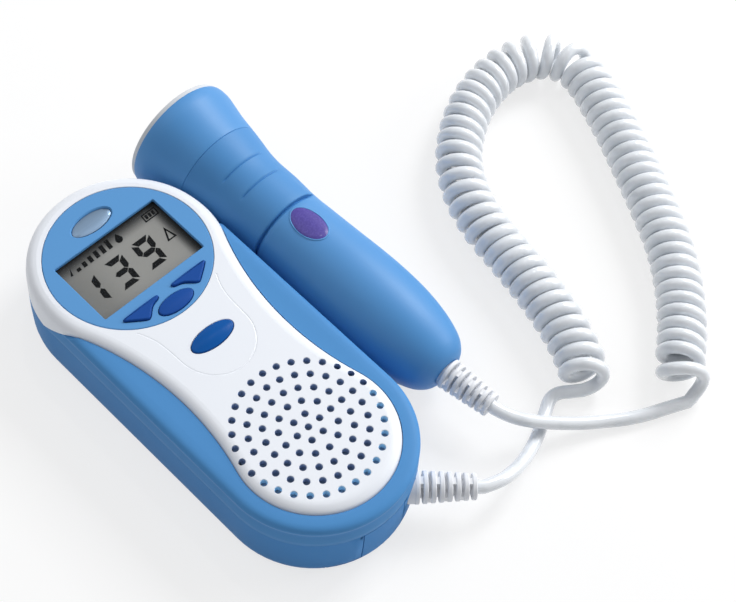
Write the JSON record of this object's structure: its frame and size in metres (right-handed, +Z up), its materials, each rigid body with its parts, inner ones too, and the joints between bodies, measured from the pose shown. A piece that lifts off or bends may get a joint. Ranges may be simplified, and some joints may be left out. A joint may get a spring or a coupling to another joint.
{
  "type": "fetal doppler monitor",
  "caption": "Hand-held fetal doppler: pocket monitor with round display, four keys and speaker grille, a flared ultrasound probe and the curly cord between them",
  "frame": {"origin": "middle of the monitor's resting face, on the surface it lies on", "axes": "+X points from the monitor to the probe, +Y to the display end along the monitor, +Z up"},
  "size_m": [0.1934, 0.1627, 0.0365],
  "materials": {
    "blue_case": "satin moulded blue plastic",
    "blue_shell": "glossy moulded blue plastic",
    "blue_grip": "satin blue plastic",
    "white_cover": "glossy white plastic",
    "sky_bezel": "glossy sky blue plastic",
    "clear_window": "clear acrylic",
    "lcd_glass": "grey-olive liquid crystal glass",
    "light_guide": "milky light guide",
    "contact_rubber": "layered contact rubber",
    "royal_keys": "satin royal blue plastic",
    "silver_plate": "brushed silver plate",
    "circuit_board": "green board with solder mask",
    "dark_plastic": "dark moulded plastic",
    "speaker_cloth": "fine woven dust cloth",
    "speaker_frame": "dark painted steel basket",
    "speaker_cone": "dark pressed film cone",
    "magnet_steel": "plated steel cup",
    "cell_jacket": "bare printed cell jacket without text",
    "contact_metal": "nickel plated spring steel",
    "screw_steel": "zinc plated steel",
    "white_relief": "soft white moulded plastic",
    "grey_face": "smooth light grey acoustic face",
    "ceramic_crystal": "silvered ceramic",
    "purple_badge": "glossy purple inlay, bare",
    "white_cord": "smooth white cord jacket"
  },
  "bodies": {
    "monitor": {"base_shell": "blue_case", "upper_shell": "blue_shell", "front_cover": "white_cover", "display_bezel": "sky_bezel", "display_window": "clear_window", "lcd_panel": "lcd_glass", "lcd_backlight": "light_guide", "lcd_strips": "contact_rubber", "logo_plate": "silver_plate", "main_board": "circuit_board", "key_switches": "dark_plastic", "board_parts": "dark_plastic", "speaker_cloth": "speaker_cloth", "speaker_frame": "speaker_frame", "speaker_cone": "speaker_cone", "speaker_magnet": "magnet_steel", "battery_cells": "cell_jacket", "battery_contacts": "contact_metal", "case_screws": "screw_steel", "monitor_strain_relief": "white_relief", "monitor_lead": "white_cord", "curly_cord": "white_cord", "probe_lead": "white_cord"},
    "left_button": {"left_key": "royal_keys"},
    "centre_button": {"centre_key": "royal_keys"},
    "right_button": {"right_key": "royal_keys"},
    "power_button": {"power_key": "royal_keys"},
    "door": {"battery_door": "blue_case"},
    "probe": {"probe_head": "blue_shell", "probe_grip": "blue_grip", "probe_barrel": "blue_shell", "transducer_face": "grey_face", "crystal_pair": "ceramic_crystal", "crystal_backing": "dark_plastic", "probe_board": "circuit_board", "probe_badge": "purple_badge", "probe_strain_relief": "white_relief"}
  },
  "joints": [
    {"name": "left_key_press", "type": "slide", "parent": "monitor", "child": "left_button", "axis": [0, 0, -1], "range_m": [0, 0.0006], "stiffness_N_per_m": 300},
    {"name": "centre_key_press", "type": "slide", "parent": "monitor", "child": "centre_button", "axis": [0, 0, -1], "range_m": [0, 0.0006], "stiffness_N_per_m": 300},
    {"name": "right_key_press", "type": "slide", "parent": "monitor", "child": "right_button", "axis": [0, 0, -1], "range_m": [0, 0.0006], "stiffness_N_per_m": 300},
    {"name": "power_key_press", "type": "slide", "parent": "monitor", "child": "power_button", "axis": [0, 0, -1], "range_m": [0, 0.0006], "stiffness_N_per_m": 300},
    {"name": "battery_door_slide", "type": "slide", "parent": "monitor", "child": "door", "axis": [0, -1, 0], "range_m": [0, 0.06]},
    {"name": "probe_lift", "type": "slide", "parent": "monitor", "child": "probe", "axis": [0, 0, 1], "range_m": [0, 0.04]}
  ]
}
